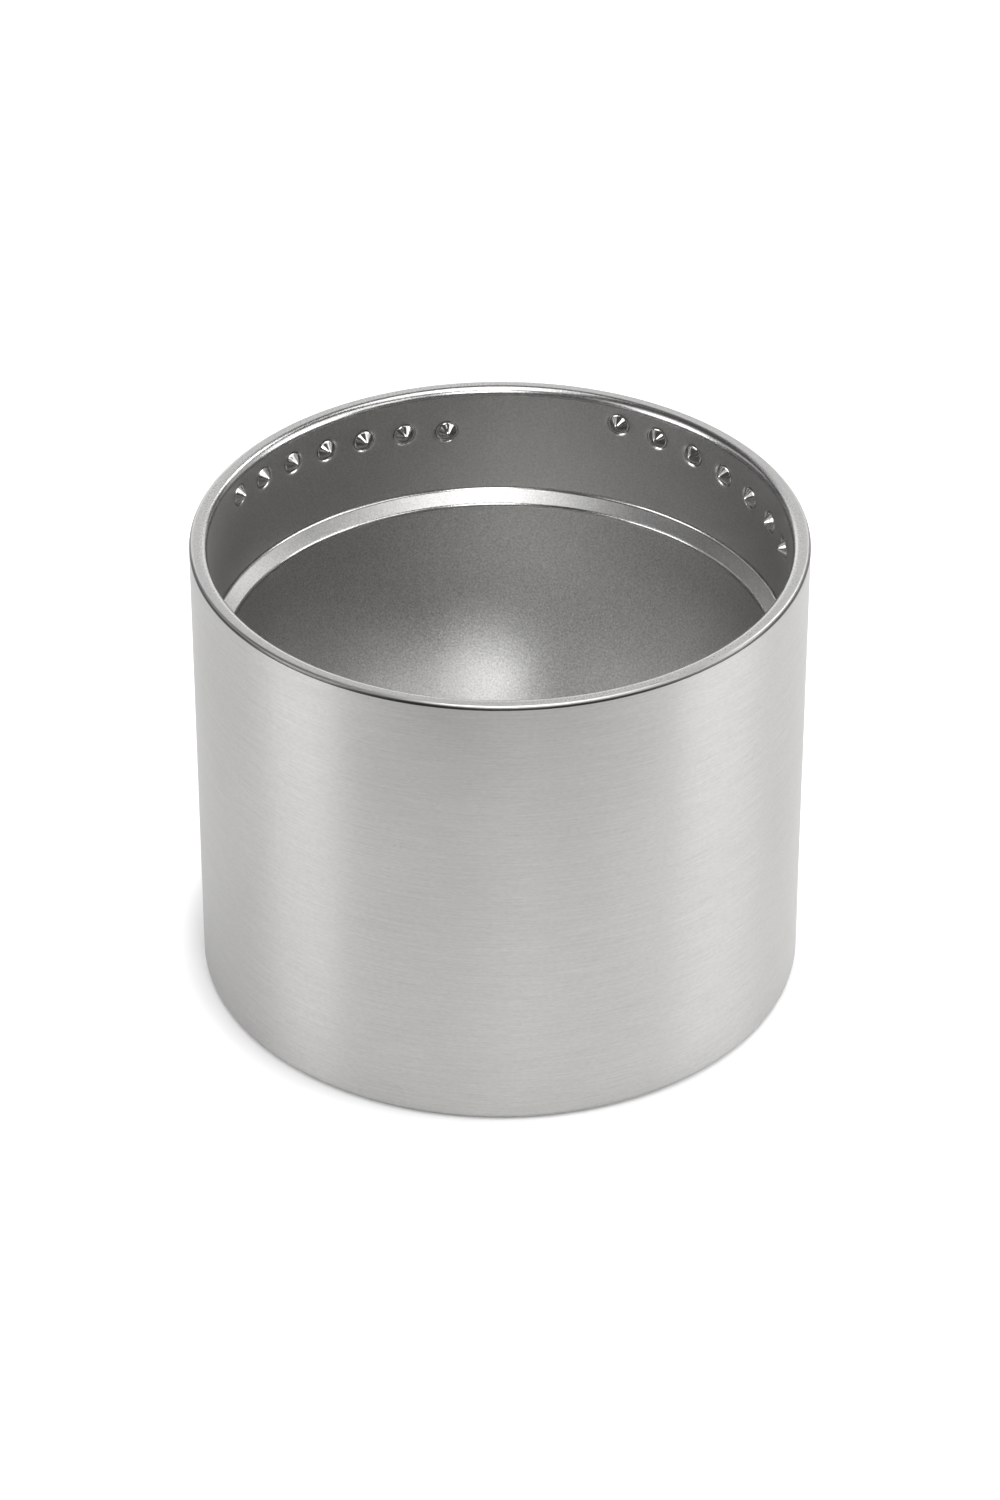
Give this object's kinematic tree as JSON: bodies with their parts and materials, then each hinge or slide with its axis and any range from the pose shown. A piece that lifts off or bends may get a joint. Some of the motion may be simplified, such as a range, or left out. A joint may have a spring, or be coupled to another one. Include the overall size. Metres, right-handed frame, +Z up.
{
  "type": "double-walled cup",
  "caption": "Round double-walled stainless steel cup with a thread of pressed dimples inside its mouth, a sloping sealing seat and a half-round bowl.",
  "frame": {"origin": "centre of the foot ring, on the plane that it stands on", "axes": "+Z up along the vessel's axis, out of its mouth; the picture was taken from the -Y side"},
  "size_m": [0.09, 0.09, 0.072],
  "materials": {
    "brushed_wall": "fine lines brushed round the girth",
    "blasted_liner": "bead-blasted, matt, with polished dimples and seat",
    "polished_weld": "polished",
    "pressed_steel": "plain rolled sheet",
    "base_steel": "brushed round its middle",
    "glass_solder": "dark glass, glossy",
    "foam_tape": "closed-cell foam, matt",
    "getter": "pressed powder, matt",
    "copper_foil": "bright copper foil"
  },
  "bodies": {
    "root": {"outer_shell": "brushed_wall", "inner_liner": "blasted_liner", "rim_weld": "polished_weld", "base_plate": "pressed_steel", "base_weld": "polished_weld", "seal_bead": "glass_solder", "base_cover": "base_steel", "cover_tape": "foam_tape", "getter_pellet": "getter", "getter_clip": "pressed_steel", "foil_wrap": "copper_foil", "foil_disc": "copper_foil"}
  },
  "joints": []
}
